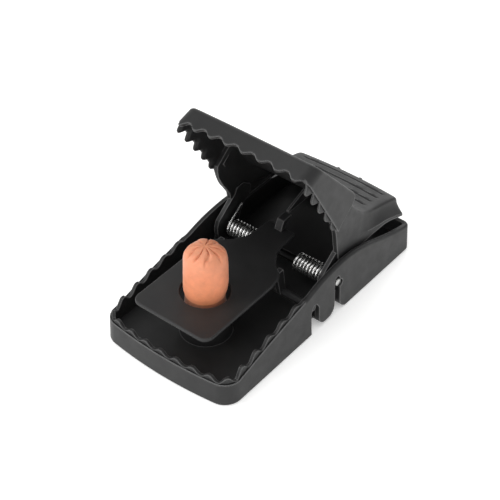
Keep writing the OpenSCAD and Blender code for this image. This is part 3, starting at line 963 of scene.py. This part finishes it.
def dull_rod():
    """Dark rod with light cut ends: nearly black along its length and light grey at its two ends."""
    material, nodes, links, shader = new_material("axle_steel")
    reach = nodes.new("ShaderNodeMath")
    reach.operation = "ABSOLUTE"
    links.new(object_axis(nodes, links, "X"), reach.inputs[0])
    end = ramp_node(nodes, links, reach.outputs["Value"], 0.0221, 0.0225, 0.0, 1.0)
    colour = colour_mix(nodes, links, end, (0.045, 0.045, 0.045), (0.55, 0.55, 0.54))
    links.new(colour.outputs["Result"], shader.inputs["Base Color"])
    shader.inputs["Metallic"].default_value = 1.0
    shader.inputs["Roughness"].default_value = 0.42
    return material


SKIN_LOW_Z, SKIN_TOP_Z = 0.017, 0.0352
# Colour of the sausage by share of the height from SKIN_LOW_Z to SKIN_TOP_Z; the brown at the foot is
# painted shade where it enters the plate's hole, and the darker top is painted shade against the light from
# above.
SKIN_TINTS_AND_SHADE = [(0.0, (0.20, 0.065, 0.03)), (0.045, (0.34, 0.115, 0.05)), (0.072, (0.78, 0.265, 0.12)),
              (0.3, (0.80, 0.285, 0.14)), (0.62, (0.75, 0.27, 0.138)), (1.0, (0.64, 0.25, 0.135))]


def skin_tint_and_shade(nodes, links):
    """Tint by height, with painted shade at the foot and at the top, a little mottled."""
    height = ramp_node(nodes, links, object_axis(nodes, links, "Z"), SKIN_LOW_Z, SKIN_TOP_Z, 0.0, 1.0)
    ramp = nodes.new("ShaderNodeValToRGB")
    elements = ramp.color_ramp.elements
    for element, (position, tint) in zip(elements, (SKIN_TINTS_AND_SHADE[0], SKIN_TINTS_AND_SHADE[-1])):
        element.position = position
        element.color = (*tint, 1)
    for position, tint in SKIN_TINTS_AND_SHADE[1:-1]:
        elements.new(position).color = (*tint, 1)
    links.new(height, ramp.inputs["Fac"])
    mottle = noise_node(nodes, links, 420, 6, 0.65)
    tone = ramp_node(nodes, links, mottle.outputs["Fac"], 0.25, 0.75, 0.86, 1.1)
    tinted = nodes.new("ShaderNodeMix")
    tinted.data_type = "RGBA"
    tinted.blend_type = "MULTIPLY"
    tinted.inputs["Factor"].default_value = 1.0
    links.new(ramp.outputs["Color"], tinted.inputs["A"])
    links.new(tone, tinted.inputs["B"])
    return tinted.outputs["Result"]


def sausage_skin():
    """Smoked sausage: orange pink, with painted shade: darker low down and brown at the plate's hole, and a
    little darker towards the top.
    """
    material, nodes, links, shader = new_material("sausage_skin")
    links.new(skin_tint_and_shade(nodes, links), shader.inputs["Base Color"])
    shader.inputs["Roughness"].default_value = 0.5
    shader.inputs["Sheen Weight"].default_value = 0.15
    shader.inputs["Sheen Roughness"].default_value = 0.4
    shader.inputs["Subsurface Weight"].default_value = 0.12
    shader.inputs["Subsurface Radius"].default_value = (1.0, 0.35, 0.2)
    shader.inputs["Subsurface Scale"].default_value = 0.0015
    fine = noise_node(nodes, links, 1500, 3)
    surface_grain(nodes, links, shader, fine.outputs["Fac"], 0.12)
    return material


def floor_paper():
    """Plain pale paper that stays nearly white in the soft shadow."""
    material, nodes, links, shader = new_material("floor_paper")
    fibre = noise_node(nodes, links, 60, 3)
    colour = colour_mix(nodes, links, fibre.outputs["Fac"], (0.94, 0.94, 0.93), (0.96, 0.96, 0.955))
    links.new(colour.outputs["Result"], shader.inputs["Base Color"])
    shader.inputs["Roughness"].default_value = 1.0
    shader.inputs["Specular IOR Level"].default_value = 0.0
    shader.inputs["Emission Color"].default_value = (1, 1, 1, 1)
    shader.inputs["Emission Strength"].default_value = 0.28
    return material


def paint(obj, material):
    obj.data.materials.clear()
    obj.data.materials.append(material)


# ---------- assembly ----------
def place(obj, material, slot, body, *nodes):
    """Paints a piece, fixes it to its body and lets it stand for its CAD nodes."""
    paint(obj, material)
    if body:
        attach(obj, body)
    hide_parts(*nodes)


def build_springs():
    wire = bright_steel("spring_steel", 0.2)
    for name, side in (("spring_right", 1), ("spring_left", -1)):
        spring = make_spring(name + "_wire", side)
        place(spring, wire, "spring_steel", None, name)
        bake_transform(spring)


def build_bait():
    sausage = make_sausage()
    place(sausage, sausage_skin(), "bait_flesh", "base", "bait_sausage")
    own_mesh(sausage)
    paint(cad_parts["bait_cup"], moulded_plastic("cup_plastic", 0.5, (0.017, 0.017, 0.017)))


def build_object():
    place(make_tray(), moulded_plastic("tray_plastic", 0.48), "tray_plastic", "base", "base_tray")
    place(make_jaw(), moulded_plastic("jaw_plastic", 0.5), "jaw_plastic", "jaw", "upper_jaw")
    place(make_trigger(), moulded_plastic("trigger_plastic", 0.46), "trigger_plastic", "trigger",
          "trigger_plate")
    place(make_axle(), dull_rod(), "axle_steel", "base", "axle_pin")
    build_springs()
    build_bait()


# ---------- stage ----------
# Soft lights in metres: name, place, target, size and power.
LIGHTS = [
    ("soft_front", (0.12, -0.62, 0.12), (0, -0.01, 0.03), 0.35, 1.3),
    ("soft_left", (-0.52, -0.45, 0.4), (0, 0, 0.02), 0.5, 2.3),
    ("soft_right", (0.6, -0.1, 0.35), (0, 0, 0.02), 0.4, 0.6),
    ("soft_back", (-0.25, 0.75, 0.35), (0, 0.02, 0.02), 0.5, 1.5),
    ("soft_top", (0.0, -0.1, 0.8), (0, 0, 0), 0.6, 2.4),
]
WORLD_STRENGTH = 0.52
FLOOR_HALF, FLOOR_Z = 3.0, -0.0002


def aim(obj, place_at, target):
    """Puts a light or camera at a place and turns it to the target."""
    obj.location = place_at
    obj.rotation_euler = (Vector(target) - Vector(place_at)).to_track_quat("-Z", "Y").to_euler()
    bpy.context.scene.collection.objects.link(obj)


def area_light(name, place_at, target, size, power):
    light = bpy.data.lights.new(name, "AREA")
    light.energy = power
    light.size = size
    aim(bpy.data.objects.new(name, light), place_at, target)


def build_floor():
    h = FLOOR_HALF
    mesh = bpy.data.meshes.new("floor_sheet")
    mesh.from_pydata([(-h, -h, 0), (h, -h, 0), (h, h, 0), (-h, h, 0)], [], [(0, 1, 2, 3)])
    floor = bpy.data.objects.new("floor_sheet", mesh)
    floor.location.z = FLOOR_Z
    bpy.context.scene.collection.objects.link(floor)
    paint(floor, floor_paper())


def build_stage():
    build_floor()
    scene = bpy.context.scene
    world = bpy.data.worlds.new("studio")
    world.use_nodes = True
    background = world.node_tree.nodes["Background"]
    background.inputs["Color"].default_value = (1, 1, 1, 1)
    background.inputs["Strength"].default_value = WORLD_STRENGTH
    scene.world = world
    for light in LIGHTS:
        area_light(*light)
    scene.view_settings.view_transform = "Standard"
    scene.view_settings.look = "None"
    scene.view_settings.exposure = 0.0
    scene.view_settings.gamma = 1.0


VIEW_AZIMUTH, VIEW_ELEVATION, VIEW_DISTANCE = math.radians(38.8), math.radians(41.4), 0.439
VIEW_TARGET = Vector((-0.0034, -0.0002, 0.0149))
LENS, SENSOR = 106.3, 36


def build_camera():
    flat = math.cos(VIEW_ELEVATION)
    back = Vector((math.sin(VIEW_AZIMUTH) * flat, -math.cos(VIEW_AZIMUTH) * flat, math.sin(VIEW_ELEVATION)))
    camera = bpy.data.cameras.new("camera")
    camera.lens = LENS
    camera.sensor_width = SENSOR
    obj = bpy.data.objects.new("camera", camera)
    aim(obj, VIEW_TARGET + back * VIEW_DISTANCE, VIEW_TARGET)
    bpy.context.scene.camera = obj


build_camera()
build_object()
build_stage()
